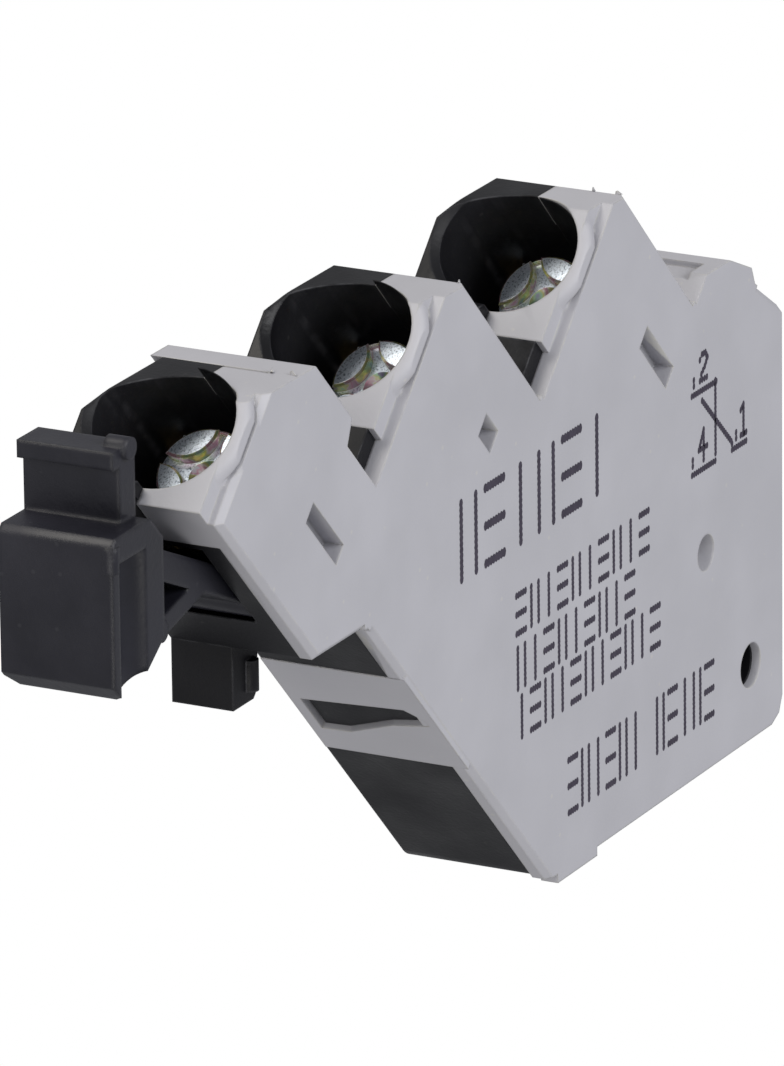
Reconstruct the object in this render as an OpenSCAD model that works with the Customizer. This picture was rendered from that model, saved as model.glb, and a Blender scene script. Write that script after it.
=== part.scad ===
// Alarm contact module: a flat, snap-in changeover switch with three slanted screw terminals.
// X runs along the module, Y across its thickness, Z up. The origin is the middle of the bottom seat.
// The grey cover closes the side that faces -Y, the black base is the other half.

/* [Module] */
// Thickness of the closed module
module_t = 10; // [9.6:0.1:12]
// Half the length of the bottom seat
seat_half = 17.1; // [16:0.1:19]
// Height of the underside step at the terminal end
step_z = 24.3; // [23.8:0.1:24.8]
// Height of the rear shoulder
shoulder_z = 28.2; // [27.8:0.1:30]
// Height of the rear ridge
ridge_z = 33.4; // [33:0.1:34.5]
// Thickness of the cover's front skin
skin_t = 1.2; // [1:0.1:1.5]
// Thickness of the base's side wall
wall_t = 1.3; // [1:0.1:1.6]
// Chamfer on the cover's outer edges
edge_c = 0.4; // [0.2:0.1:0.6]

/* [Terminals] */
// X of the first well's mouth
term_x0 = -57.3; // [-58:0.1:-56.8]
// Z of the first well's mouth
term_z0 = 41.35; // [41:0.05:41.7]
// Distance from one terminal to the next along X
term_pitch = 22.75; // [22.5:0.05:23]
// Drop from one terminal to the next
term_drop = 1; // [0.8:0.05:1.2]
// Height of the first tower's flat top
top_z0 = 42.8; // [42.4:0.1:43.4]
// Drop from one tower top to the next
top_drop = 0.5; // [0.3:0.1:0.8]
// Radius of the screwdriver well
well_r = 4.4; // [4:0.05:4.5]
// Distance from a well's axis to the tower's rear slope
tower_half = 6.2; // [6:0.1:6.4]
// Distance from a well's axis to the front of its ledge
ledge_reach = 6; // [5.8:0.05:6.2]
// The same distance at the first terminal
beak_reach = 5.5; // [5.3:0.05:5.8]
// How far the printed skin stays back from the well's mouth
lip_step = 1.35; // [1:0.05:1.8]
// Thickness of the raised lip round a well
lip_t = 0.8; // [0.7:0.05:1.2]
// Rounding of the lip's outer edge
lip_round = 0.6; // [0.4:0.05:0.7]
// Depth of the pockets beside the lip
pocket_d = 0.8; // [0.5:0.1:1.2]
// Depth of the cover's half of a tower
half_depth = 4.5; // [4:0.1:5.5]
// How far the black collar stands proud of the mouth
collar_rise = 1.4; // [1:0.1:1.8]
// Radius of the collar's upper corner
collar_r = 3; // [2:0.25:4]
// Width of the bevel round the collar's mouth
collar_bevel = 0.5; // [0.3:0.05:0.55]

/* [Terminal hardware] */
// Depth of the screw head's top below the mouth
head_depth = 5.9; // [5.4:0.1:6.3]
// Radius of the screw head
head_r = 3.05; // [2.8:0.05:3.3]
// Height of the screw head
head_h = 1.9; // [1.6:0.1:2.2]
// Radius of the screw shank
shank_r = 1.45; // [1.4:0.05:1.6]
// Length of the screw shank
shank_l = 4.8; // [4.4:0.1:5]
// Side of the square clamp plate
clamp_w = 6; // [5.6:0.1:6.1]
// Thickness of the clamp plate
clamp_t = 0.9; // [0.7:0.1:1.1]
// Travel of a clamp from open to closed
clamp_travel = 1.1; // [0.8:0.1:1.3]
// Thickness of the terminal strips
strip_t = 0.8; // [0.6:0.1:0.9]
// Width of a strip along its run
strip_w = 2.4; // [2:0.1:2.6]
// Half length of a strip's clamping tab
tab_half = 3.2; // [3:0.1:3.4]

/* [Lever] */
// X of the lever's pivot
pivot_x = -50.2; // [-50.4:0.05:-50]
// Z of the lever's pivot
pivot_z = 28.9; // [28.8:0.05:29]
// Radius of the pivot pin
pin_r = 0.8; // [0.7:0.05:0.9]
// Radius of the lever's hub
hub_r = 1.5; // [1.4:0.05:1.55]
// X of the paddle's front face
paddle_x = -71.2; // [-73:0.1:-70]
// Depth of the paddle along X
paddle_d = 6.2; // [5.5:0.1:7]
// Width of the paddle across the module
paddle_w = 7.6; // [7:0.1:8.4]
// Height of the paddle's lower edge
paddle_z = 28.6; // [27.5:0.1:29.5]
// Height of the paddle
paddle_h = 10.1; // [9:0.1:11]
// Height of the post above the paddle
post_h = 4.5; // [3.5:0.1:5]
// Set-back of the post from the paddle's front
post_back = 3.2; // [2:0.1:3.6]
// Depth of the post along X
post_d = 1.9; // [1.6:0.1:2.4]
// Width of the lever's arm across the module
arm_w = 4.4; // [4:0.1:4.6]

/* [Switch] */
// How far the knife edge lies ahead of the seat's front corner
knife_in = 2.9; // [2.4:0.1:3.4]
// Z of the blade's underside
blade_z = 19.5; // [19.3:0.1:19.7]
// Thickness of the contact blade
blade_t = 0.4; // [0.3:0.05:0.5]
// Width of the contact blade
blade_w = 4; // [3.4:0.1:4.2]
// Distance from the knife edge to the contacts
contact_arm = 13.5; // [13:0.1:14]
// Distance from the knife edge to the push rod
rod_arm = 12; // [11.6:0.1:12.4]
// Radius of the contact rivets
contact_r = 1.1; // [0.9:0.1:1.3]
// Thickness of a contact rivet's head
contact_h = 0.8; // [0.6:0.1:0.9]
// Air gap of the open contact
contact_gap = 1.55; // [1.5:0.05:1.8]
// Side of the push rod
rod_w = 2; // [1.6:0.1:2.2]

/* [Foot and holes] */
// Length of the snap foot along X
foot_l = 3.2; // [2.8:0.1:3.6]
// Width of the snap foot across the module
foot_w = 4.2; // [3.6:0.1:4.6]
// Height of the snap foot
foot_h = 4.1; // [3.6:0.1:4.6]
// Radius that rounds the base's lower front corner
corner_r = 2.4; // [1.5:0.1:3]
// Radius of the fixing hole right through the module
fixing_r = 1.5; // [1.2:0.05:1.7]
// Distance from the fixing hole to the rear edge
fixing_in = 4.8; // [4.3:0.1:5.3]
// Z of the fixing hole
fixing_z = 5.1; // [4.8:0.1:6]
// Radius of the blind hole in the cover
blind_r = 1.2; // [1:0.05:1.4]
// X of the blind hole
blind_x = 5.7; // [5:0.1:6.4]
// Z of the blind hole
blind_z = 14.8; // [14.2:0.1:15]

/* [Hidden] */
$fn = 48;

// Running clearance of sliding and turning parts
fit = 0.05;
// Rest gap between parts that push on each other
rest_gap = 0.05;
// How far a round end stands out past its bar
round_over = 0.02;
// Overlap that makes a cut clear its face
eps = 0.1;
diag = sqrt(2);
// Faces of the module across its thickness
face_y = -module_t / 2;
back_y = module_t / 2;
skin_y = face_y + skin_t;
wall_y = back_y - skin_t;

// Wells: mouths, axis lines (x + z), mouth lines (z - x) and tower tops
// Slanted lines are kept to hundredths, so that shapes that share a slope stay in one plane
function tidy(v) = round(v * 100) / 100;
function term_x(n) = term_x0 + n * term_pitch;
function term_z(n) = term_z0 - n * term_drop;
function axis_sum(n) = term_x(n) + term_z(n);
function mouth_diff(n) = term_z(n) - term_x(n);
function top_z(n) = top_z0 - n * top_drop;
function slope_sum(n) = tidy(axis_sum(n) + tower_half * diag);
function ledge_sum(n) = tidy(axis_sum(n) - (n == 0 ? beak_reach : ledge_reach) * diag);
function below_mouth(n, depth) = tidy(mouth_diff(n) - depth * diag);
// Meeting point of the lines x + z = s and z - x = d
function meet(s, d) = [(s - d) / 2, (s + d) / 2];
// Meeting points of those lines with a height
function on_sum(s, z) = [s - z, z];
function on_diff(d, z) = [z - d, z];

lower_sum = -seat_half;
upper_sum = ledge_sum(0);
rear_x = seat_half;
rear_diff = 27.4;
ridge_x0 = 8;
ridge_x1 = 12.6;
ridge_floor = ridge_z - 1.2;

// Depths below a mouth
clamp_depth = head_depth + head_h;
tab_depth = clamp_depth + clamp_t + clamp_travel + rest_gap;
bore_depth = clamp_depth + shank_l + clamp_travel + 0.3;

// Strip runs: the flat ribbon stands against the base's back wall
ribbon_y1 = wall_y - rest_gap;
ribbon_y0 = ribbon_y1 - strip_t;
ribbon_v = 2.2;
fixed_y0 = -1.5;

// Places that follow the seat's length
knife_x = -seat_half - knife_in;
fixing_x = seat_half - fixing_in;

// Lever motion and what it drives
arm_t = 1.8;
rod_x = knife_x - rod_arm;
arm_slope = 0.12;
arm_end_z = pivot_z + (pivot_x - rod_x) * arm_slope;
rod_top = arm_end_z - arm_t / 2 - rest_gap;
rod_bottom = blade_z + blade_t + rest_gap;
contact_x = knife_x + contact_arm;
blade_mid = blade_z + blade_t / 2;
moving_lo = blade_mid - contact_h - blade_t / 2;
moving_hi = blade_mid + contact_h + blade_t / 2;
break_top = moving_lo - rest_gap;
make_bottom = moving_hi + contact_gap;
break_tab_z = break_top - contact_h;
make_tab_z = make_bottom + contact_h;
guide_top = 23.9;
guide_bottom = 21.6;
spring_x = rod_x - 4.4;
spring_r = 1.1;
wire_r = 0.17;
blade_spring_x = knife_x + 7;
blade_past_rod = 0.6;
hanger_z = 23;

// Snap loop on the lower slant
loop_diff = 56;
loop_l = 12;
loop_t = 1;

// Extrudes an X-Z outline from y0 to y1
module side(y0, y1) {
    translate([0, y1, 0])
        rotate([90, 0, 0])
            linear_extrude(y1 - y0) children();
}

// Puts a shape at a well: x across the axis, z outward along it
module at_well(n) {
    translate([term_x(n), 0, term_z(n)])
        rotate([0, -45, 0]) children();
}

// Puts a shape on the lower slant: x down the slant, z into the module
module at_loop() {
    translate([meet(lower_sum, loop_diff)[0], 0, meet(lower_sum, loop_diff)[1]])
        rotate([0, 45, 0]) children();
}

// Flat bar whose round ends stand out a hair past its sides between two points of an outline
module bar2(p, q, w) {
    run = q - p;
    translate(p)
        rotate(atan2(run[1], run[0]))
            translate([0, -w / 2]) square([norm(run), w]);
    for (end = [p, q]) translate(end) circle(r = w / 2 + round_over);
}

// Chain of such bars
module ribbon2(points, w) {
    for (i = [0:len(points) - 2]) bar2(points[i], points[i + 1], w);
}

// Wire coil of n turns standing on z = 0
module coil(r, wire, h, turns) {
    steps = 14 * turns;
    sides = 6;
    rise = h - 2 * wire;
    ring = function(i) let (a = 360 * turns * i / steps, z = wire + rise * i / steps)
        [for (k = [0:sides - 1]) let (b = 360 * k / sides)
            [(r + wire * cos(b)) * cos(a), (r + wire * cos(b)) * sin(a), z + wire * sin(b)]];
    points = [for (i = [0:steps]) each ring(i)];
    skin = [for (i = [0:steps - 1], k = [0:sides - 1])
        [i * sides + k, (i + 1) * sides + k,
         (i + 1) * sides + (k + 1) % sides, i * sides + (k + 1) % sides]];
    first = [for (k = [0:sides - 1]) k];
    last = [for (k = [sides - 1:-1:0]) steps * sides + k];
    polyhedron(points, concat(skin, [first, last]));
}

// Sides of that outline that carry the chamfer: slants, step, first mouth, two rear slopes, rear edge
chamfered = [0, 1, 2, 3, 8, 11, 16];
// Outline of the module; back is how far each tower stays behind its well's mouth
function outline(back) = [
    [-seat_half, 0],
    on_sum(lower_sum, step_z),
    on_sum(upper_sum, step_z),
    meet(upper_sum, below_mouth(0, back)),
    on_diff(below_mouth(0, back), top_z(0)),
    on_sum(slope_sum(0), top_z(0)),
    meet(slope_sum(0), below_mouth(1, back)),
    on_diff(below_mouth(1, back), top_z(1)),
    on_sum(slope_sum(1), top_z(1)),
    meet(slope_sum(1), below_mouth(2, back)),
    on_diff(below_mouth(2, back), top_z(2)),
    on_sum(slope_sum(2), top_z(2)),
    meet(slope_sum(2), rear_diff),
    on_diff(rear_diff, ridge_z),
    [9.4, ridge_z],
    [ridge_x1, ridge_z - 1.4],
    [13.1, shoulder_z + 2.6],
    [rear_x, shoulder_z],
    [rear_x, 1.6],
    [rear_x - 0.5, 0.5],
    [rear_x - 1.6, 0]
];

// Cover half of a tower, in the X-Z plane
module half_tower2(n) {
    polygon([
        meet(ledge_sum(n), below_mouth(n, half_depth)),
        meet(ledge_sum(n), mouth_diff(n)),
        on_diff(mouth_diff(n), top_z(n)),
        on_sum(slope_sum(n), top_z(n)),
        meet(slope_sum(n), below_mouth(n, half_depth))
    ]);
}

// Extra wall that thickens the first tower's rear slope
module rear_cap2() {
    cap_z = top_z(0) - 4.6;
    cap_sum = slope_sum(0) + 2.26;
    polygon([
        on_sum(slope_sum(0), top_z(0)),
        on_sum(cap_sum, top_z(0)),
        on_sum(cap_sum, cap_z),
        on_sum(slope_sum(0), cap_z - 1.6)
    ]);
}

// Ridge across the module behind the last tower
module ridge2() {
    polygon([
        [ridge_x0, ridge_floor - 0.8],
        [ridge_x0, ridge_z],
        [9.4, ridge_z],
        [ridge_x1, ridge_z - 1.4],
        [ridge_x1, ridge_floor - 1.6]
    ]);
}

// Floor and far wall of the trough between the last tower and the ridge
module trough2(filled) {
    slope = slope_sum(2);
    low = ridge_floor - 1.2;
    rim = filled ? ridge_z : ridge_z - 0.4;
    polygon(concat(
        [[slope - ridge_z + 0.4, low], on_sum(slope, rim)],
        filled ? [] : [meet(slope, rear_diff)],
        [on_diff(rear_diff, rim), [ridge_x0 + eps, rim], [ridge_x0 + eps, low]]
    ));
}

// Black collar that stands proud of a mouth, with a rounded upper corner
module collar2(n) {
    front = below_mouth(n, -collar_rise);
    low_sum = tidy(axis_sum(n) - 5.2 * diag);
    tangent = collar_r * tan(22.5);
    turn = on_diff(front, top_z(n)) + [tangent, -collar_r];
    polygon(concat(
        [meet(low_sum, mouth_diff(n) - eps), meet(low_sum, front)],
        [for (a = [135:-9:90]) turn + collar_r * [cos(a), sin(a)]],
        [on_diff(mouth_diff(n) - eps, top_z(n))]
    ));
}

// Everything that is cut out of both halves for one terminal
module well_cut(n) {
    at_well(n) {
        translate([0, 0, -tab_depth]) cylinder(r = well_r, h = tab_depth + 8);
        translate([0, 0, -bore_depth]) cylinder(r = shank_r + 0.15, h = bore_depth);
        translate([-tab_half - fit, -tab_half - fit, -tab_depth - strip_t - fit])
            cube([2 * (tab_half + fit), tab_half + ribbon_y1 + 3 * fit, strip_t + fit + eps]);
    }
}

// Side view of the first strip's run, from its tab to the contact below the blade
ribbon_drop = 0.9;
break_run = [
    meet(axis_sum(0) + ribbon_v * diag, mouth_diff(0) - tab_depth * diag),
    on_sum(axis_sum(0) + ribbon_v * diag, break_tab_z - ribbon_drop),
    [contact_x, break_tab_z - ribbon_drop]
];
common_run = [
    meet(axis_sum(1) + ribbon_v * diag, mouth_diff(1) - tab_depth * diag),
    [knife_x, axis_sum(1) + ribbon_v * diag - knife_x],
    [knife_x, blade_z + 0.9]
];
make_x = 2.2;
make_run = [
    meet(axis_sum(2) + ribbon_v * diag, mouth_diff(2) - tab_depth * diag),
    [make_x, axis_sum(2) + ribbon_v * diag - make_x],
    [make_x, make_tab_z + 0.4],
    [contact_x, make_tab_z + 0.4]
];

module strip_slot(run) {
    side(ribbon_y0 - fit, ribbon_y1 + 3 * fit) ribbon2(run, strip_w + 4 * fit);
}

// Clamping tab with its screw hole, and the ribbon that leads away from it
module strip_body(n, run) {
    difference() {
        union() {
            at_well(n)
                translate([-tab_half, -tab_half, -tab_depth - strip_t])
                    cube([2 * tab_half, tab_half + ribbon_y1, strip_t]);
            side(ribbon_y0, ribbon_y1) ribbon2(run, strip_w);
        }
        at_well(n) {
            translate([0, 0, -tab_depth - strip_t - eps])
                cylinder(r = shank_r + fit, h = strip_t + 2 * eps);
            // the ribbon starts flush with the tab's upper face
            translate([-tab_half, ribbon_y0 - eps, -tab_depth])
                cube([2 * tab_half + 1, strip_t + 2 * eps, strip_w]);
        }
    }
}

// Lever tunnel and switch chamber, in the X-Z plane
arm_run = [[pivot_x, pivot_z], [rod_x, arm_end_z]];
tunnel_x = -39;
module tunnel2() {
    floor_z = step_z + 1;
    polygon([
        [upper_sum - pivot_z + 2.6, pivot_z - 0.6],
        on_sum(upper_sum + 1.9 * diag, floor_z),
        [tunnel_x, floor_z],
        [tunnel_x, pivot_z - 0.1],
        [pivot_x + 1.5, pivot_z + 1.05]
    ]);
    translate([pivot_x, pivot_z]) circle(r = hub_r + 0.25);
}
module chamber2() {
    floor_z = step_z + 1;
    roof_z = 27.3;
    // higher roof over the end of the lever's arm
    bay_x = rod_x + 1.6;
    polygon([
        on_sum(lower_sum + wall_t * diag, floor_z),
        on_sum(lower_sum + wall_t * diag, wall_t + 0.3),
        [rear_x - wall_t, wall_t + 0.3],
        [rear_x - wall_t, roof_z - 0.5],
        [rear_x - wall_t - 1, roof_z],
        [bay_x + 1, roof_z],
        [bay_x, roof_z + 1.1],
        [tunnel_x - 1.2, pivot_z - 0.1],
        [tunnel_x - 1.2, floor_z]
    ]);
}

// Window of the snap loop, in the loop's own plane
module loop_window2(grow) {
    polygon([
        [5.2 - grow, 4.2 + grow],
        [4.5 - grow, -3.2 - grow],
        [5.7, -4.3 - grow],
        [6.4 + grow, -4.3 - grow],
        [7.1 + grow, -1.5],
        [9.1 + grow, 2.2],
        [9.2 + grow, 4.2 + grow]
    ]);
}

// What rounds off the base's lower front corner
module corner2() {
    reach = corner_r * tan(22.5);
    difference() {
        polygon([
            [-seat_half + reach, -eps],
            [-seat_half - eps, -eps],
            on_sum(lower_sum - eps, reach / diag),
            on_sum(lower_sum, reach / diag),
            [-seat_half + reach, corner_r]
        ]);
        translate([-seat_half + reach, corner_r]) circle(r = corner_r);
    }
}

module foot() {
    foot_x = on_sum(upper_sum, step_z)[0];
    difference() {
        translate([foot_x, back_y - foot_w, step_z - foot_h]) cube([foot_l, foot_w, foot_h + 2]);
        translate([foot_x + foot_l, back_y - foot_w - eps, step_z - foot_h])
            rotate([0, 45, 0]) cube([0.8, foot_w + 2 * eps, 0.8], center = true);
    }
    // half-round snap bump on the near face
    translate([foot_x + foot_l - 1, back_y - foot_w, step_z - foot_h + 0.7])
        cylinder(r = 0.55, h = 2);
}

module base() {
    color("#242428")
    difference() {
        union() {
            difference() {
                side(skin_y, back_y) polygon(outline(0));
                for (n = [0:2]) side(skin_y - eps, 0) half_tower2(n);
                side(skin_y - eps, back_y + eps) ridge2();
                side(skin_y - eps, back_y + eps) trough2(true);
                side(skin_y - eps, wall_y) chamber2();
                side(-arm_w / 2 - 0.3, arm_w / 2 + 0.3) tunnel2();
                // mouth of the lever's tunnel in the upper slant
                side(-arm_w / 2 - 0.2, arm_w / 2 + 0.2)
                    polygon([
                        [pivot_x - 0.9, pivot_z - 2],
                        [pivot_x - 8.9, pivot_z + 1.6],
                        [pivot_x - 7.1, pivot_z + 5.6],
                        [pivot_x + 0.9, pivot_z + 2]
                    ]);
                at_loop()
                    translate([-fit, skin_y - eps, -eps])
                        cube([loop_l + 2 * fit, back_y - skin_y + 2 * eps, loop_t + fit + eps]);
            }
            for (n = [0:2]) side(0, back_y) collar2(n);
            // catch that fills the loop's window
            at_loop()
                intersection() {
                    translate([0, 0, 0.25]) linear_extrude(loop_t) loop_window2(-0.25);
                    translate([4, face_y + skin_t + fit, 0]) cube([7, module_t, 3]);
                }
            foot();
            // guide of the push rod, also the seat of the return spring
            side(skin_y, ribbon_y0 - 0.2)
                polygon([
                    on_sum(lower_sum + 1, guide_bottom),
                    on_sum(lower_sum + 1, guide_top),
                    [rod_x + rod_w / 2 + 1.4, guide_top],
                    [rod_x + rod_w / 2 + 1.4, guide_bottom]
                ]);
            // hanger that backs the blade spring
            translate([blade_spring_x - 2, -2, hanger_z]) cube([4, wall_y + 2 + eps, 1.5]);
            // sleeve round the fixing hole
            translate([fixing_x, back_y - 0.5, fixing_z])
                rotate([90, 0, 0]) cylinder(r = fixing_r + 1.3, h = back_y - skin_y - 0.5);
        }
        for (n = [0:2]) {
            well_cut(n);
            slot_pad(n, fit);
        }
        blind_boss(fit);
        strip_slot(break_run);
        strip_slot(common_run);
        strip_slot(make_run);
        translate([rod_x - rod_w / 2 - fit, -rod_w / 2 - fit, guide_bottom - eps])
            cube([rod_w + 2 * fit, rod_w + 2 * fit, guide_top - guide_bottom + 2 * eps]);
        translate([pivot_x, wall_y + 0.6, pivot_z])
            rotate([90, 0, 0]) cylinder(r = pin_r, h = module_t);
        translate([fixing_x, back_y + 1, fixing_z])
            rotate([90, 0, 0]) cylinder(r = fixing_r, h = module_t + 2);
        for (n = [0:2])
            at_well(n) translate([0, 0, collar_rise - collar_bevel])
                cylinder(r1 = well_r, r2 = well_r + collar_bevel + 0.05, h = collar_bevel + 0.05);
        side(skin_y - eps, back_y + eps) corner2();
        // chamfer along the far edge of each tower top
        for (n = [0:2])
            translate([term_x(n) + 2, back_y, top_z(n)])
                rotate([45, 0, 0]) cube([14, 1.2, 1.2], center = true);
    }
}

// Takes the sharp edge off the cover's outer face along one side of its outline.
// A cut runs past an outer corner and stops short of an inner one.
module edge_cut(outline, i) {
    count = len(outline);
    p = outline[i];
    q = outline[(i + 1) % count];
    before = p - outline[(i + count - 1) % count];
    after = outline[(i + 2) % count] - q;
    run = q - p;
    start = cross(before, run) < 0 ? edge_c : -0.4;
    stop = cross(run, after) < 0 ? edge_c : -0.4;
    translate([p[0], face_y, p[1]])
        rotate([0, -atan2(run[1], run[0]), 0])
            translate([-start, 0, 0])
                rotate([45, 0, 0])
                    translate([0, -edge_c, -edge_c / diag])
                        cube([norm(run) + start + stop, 2 * edge_c, 2 * edge_c]);
}

// Blind slot over a terminal, turned with the well
module slot_cut(n, depth, length, width) {
    at_well(n)
        translate([0.75 - width / 2, face_y - eps, -depth - length / 2])
            cube([width, skin_t + 0.1 + eps, length]);
}

// Pad behind a slot and boss behind the blind hole; the base makes room for both
module slot_pad(n, grow) {
    at_well(n)
        translate([-1.2 - grow, skin_y - eps, -17.2 - grow])
            cube([3.9 + 2 * grow, 0.7 + eps + grow, 6.4 + 2 * grow]);
}
module blind_boss(grow) {
    translate([blind_x, skin_y - eps, blind_z])
        rotate([-90, 0, 0]) cylinder(r = blind_r + 1 + grow, h = 2 + grow);
}

// Solid of the raised lip, rounded over towards the mouth
module lip_bead() {
    low = -lip_step - 0.6;
    rotate_extrude()
        polygon(concat(
            [[0, low], [well_r + lip_t, low]],
            [for (a = [0:18:90])
                [well_r + lip_t - lip_round * (1 - cos(a)), lip_round * (sin(a) - 1)]],
            [[0, 0]]
        ));
}

module cover() {
    skin = outline(lip_step);
    color("#b7b8c0")
    difference() {
        union() {
            difference() {
                side(face_y, skin_y) polygon(skin);
                for (i = chamfered) edge_cut(skin, i);
            }
            for (n = [0:2]) {
                side(face_y + pocket_d, 0) half_tower2(n);
                intersection() {
                    side(face_y, 0) half_tower2(n);
                    at_well(n) lip_bead();
                }
            }
            side(face_y, back_y) rear_cap2();
            side(face_y, back_y) ridge2();
            side(skin_y - eps, wall_y) trough2(false);
            side(wall_y, back_y) trough2(true);
            // loop that snaps over the base
            at_loop()
                difference() {
                    translate([0, face_y + 0.05, -0.05]) cube([loop_l, module_t - 0.05, loop_t]);
                    translate([0, 0, -2 * eps]) linear_extrude(loop_t + 3 * eps) loop_window2(0);
                }
            // locating nib under the front corner
            translate([-seat_half + 1.2, face_y, -0.6]) cube([5.6, skin_t, 0.8]);
            for (n = [0:2]) slot_pad(n, 0);
            blind_boss(0);
        }
        for (n = [0:2]) well_cut(n);
        // slit along the first tower's rear wall
        translate([slope_sum(0) - top_z(0) - 0.12, -3, top_z(0) - 0.7]) cube([0.2, 3 + eps, 0.8]);
        // groove between each lip and the skin
        for (n = [0:2])
            at_well(n)
                translate([-5, face_y - eps, -lip_step]) cube([10, 0.6 + eps, 0.35]);
        slot_cut(0, 14, 5.4, 1.4);
        slot_cut(1, 12.7, 2.2, 1.6);
        slot_cut(2, 14, 5.3, 1.6);
        translate([blind_x, face_y - eps, blind_z])
            rotate([-90, 0, 0]) cylinder(r = blind_r, h = skin_t + 1);
        translate([fixing_x, face_y - eps, fixing_z])
            rotate([-90, 0, 0]) cylinder(r = fixing_r, h = skin_t + 2 * eps);
    }
}

// Trip lever: paddle and post outside, arm through the slant, hub and inner arm
module lever() {
    back_x = paddle_x + paddle_d;
    top = paddle_z + paddle_h;
    near_y = -paddle_w / 2;
    far_y = paddle_w / 2;
    color("#2b2b30")
    difference() {
        union() {
            side(near_y, far_y)
                polygon([
                    [paddle_x, paddle_z + 1],
                    [paddle_x, top - 0.4],
                    [paddle_x + 0.4, top],
                    [back_x - 1.5, top],
                    [back_x, top - 1.5],
                    [back_x, paddle_z + 2.4],
                    [paddle_x + 2.3, paddle_z - 0.3],
                    [paddle_x + 1, paddle_z]
                ]);
            // post, its front lip and the round stud on its near corner
            translate([paddle_x + post_back, near_y + 1.2, top - eps])
                cube([post_d, paddle_w - 1.2, post_h + eps]);
            translate([paddle_x + post_back - 0.75, near_y + 1.2, top + post_h - 1.1])
                cube([1, paddle_w - 1.2, 1.1]);
            translate([paddle_x + post_back + post_d / 2, near_y + 2.4, top + post_h - 0.15])
                rotate([90, 0, 0]) cylinder(r = 0.7, h = 1.5);
            // stud at the paddle's near front corner
            translate([paddle_x + 0.4, near_y + 0.35, top - 2.1]) cylinder(r = 0.5, h = 1.6);
            // web, arm and brace, with an open triangle between them
            side(-arm_w / 2, arm_w / 2) {
                polygon([
                    [back_x - 0.5, pivot_z + 1.6],
                    [back_x - 0.5, pivot_z + 7.4],
                    [back_x + 0.5, pivot_z + 7.4],
                    [back_x + 2.7, pivot_z + 6],
                    [back_x + 2.7, pivot_z + 1.1],
                    [back_x + 1.8, pivot_z + 0.9]
                ]);
                bar2([back_x + 0.5, pivot_z + 6.4], [pivot_x, pivot_z], 1.8);
                bar2([back_x + 3.2, pivot_z + 1.6], [back_x + 7.9, pivot_z + 2.7], 1.2);
                translate([pivot_x, pivot_z]) circle(r = hub_r);
            }
            side(-arm_w / 2 - 0.3, 0) translate([back_x + 2.2, pivot_z + 1.5]) circle(r = 0.7);
            // inner arm on the near half, with a foot over the push rod
            side(-arm_w / 2, -0.2) bar2(arm_run[0], arm_run[1], arm_t);
            side(-arm_w / 2, 1.2) bar2(arm_run[1] + [-1.6, 1.6 * arm_slope], arm_run[1], arm_t);
        }
        // upright groove down the paddle's near side
        translate([paddle_x + 2.4, near_y - 0.5, paddle_z - 1]) cylinder(r = 1.7, h = paddle_h - 0.6);
        // pin bore
        translate([pivot_x, module_t / 2, pivot_z])
            rotate([90, 0, 0]) cylinder(r = pin_r + fit, h = module_t);
        // chamfer along the far lower edge
        translate([paddle_x + paddle_d / 2, far_y, paddle_z - 0.3])
            rotate([45, 0, 0]) cube([paddle_d + 2, 1.4, 1.4], center = true);
    }
}

module lever_pin() {
    color("#9a9da3")
    translate([pivot_x, wall_y + 0.5, pivot_z])
        rotate([90, 0, 0]) cylinder(r = pin_r, h = wall_y + 0.5 - skin_y - 0.1);
}

module return_spring() {
    arm_low = pivot_z + (pivot_x - spring_x) * arm_slope - arm_t / 2;
    color("#a9abb0")
    translate([spring_x, -1.2, guide_top]) coil(spring_r, wire_r, arm_low - guide_top - 0.15, 3);
}

module push_rod() {
    color("#d8d2bd") {
        translate([rod_x - rod_w / 2, -rod_w / 2, rod_bottom + rod_w / 2])
            cube([rod_w, rod_w, rod_top - rod_bottom - rod_w / 2]);
        translate([rod_x, rod_w / 2, rod_bottom + rod_w / 2])
            rotate([90, 0, 0]) cylinder(r = rod_w / 2, h = rod_w);
    }
}

module contact_blade() {
    color("#b98a3e")
    difference() {
        translate([rod_x - blade_past_rod, fixed_y0, blade_z])
            cube([contact_x + 1.6 - rod_x + blade_past_rod, blade_w, blade_t]);
        translate([contact_x, fixed_y0 + blade_w / 2, blade_z - eps])
            cylinder(r = contact_r * 0.6, h = blade_t + 2 * eps);
    }
}

module blade_contact() {
    color("#c9c9cc")
    translate([contact_x, fixed_y0 + blade_w / 2, 0]) {
        translate([0, 0, moving_lo]) cylinder(r = contact_r, h = contact_h);
        translate([0, 0, moving_lo]) cylinder(r = contact_r * 0.6, h = moving_hi - moving_lo);
        translate([0, 0, moving_hi - contact_h]) cylinder(r = contact_r, h = contact_h);
    }
}

module blade_spring() {
    low = blade_z + blade_t;
    color("#a9abb0")
    translate([blade_spring_x, fixed_y0 + blade_w / 2, low])
        coil(spring_r, wire_r, hanger_z - low, 4);
}

module common_strip() {
    color("#c09a4a") {
        strip_body(1, common_run);
        // knife edge under the blade
        side(fixed_y0, ribbon_y1)
            polygon([
                [knife_x - 0.5, blade_z - 1],
                [knife_x - 0.5, blade_z - 0.5],
                [knife_x - 0.1, blade_z - rest_gap],
                [knife_x + 0.1, blade_z - rest_gap],
                [knife_x + 0.5, blade_z - 0.5],
                [knife_x + 0.5, blade_z - 1]
            ]);
    }
}

module fixed_tab(z) {
    translate([contact_x - contact_r - 0.4, fixed_y0, z])
        cube([2 * contact_r + 0.8, ribbon_y1 - fixed_y0, strip_t]);
}

module break_strip() {
    color("#c09a4a") {
        strip_body(0, break_run);
        fixed_tab(break_tab_z - strip_t);
    }
}

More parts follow.
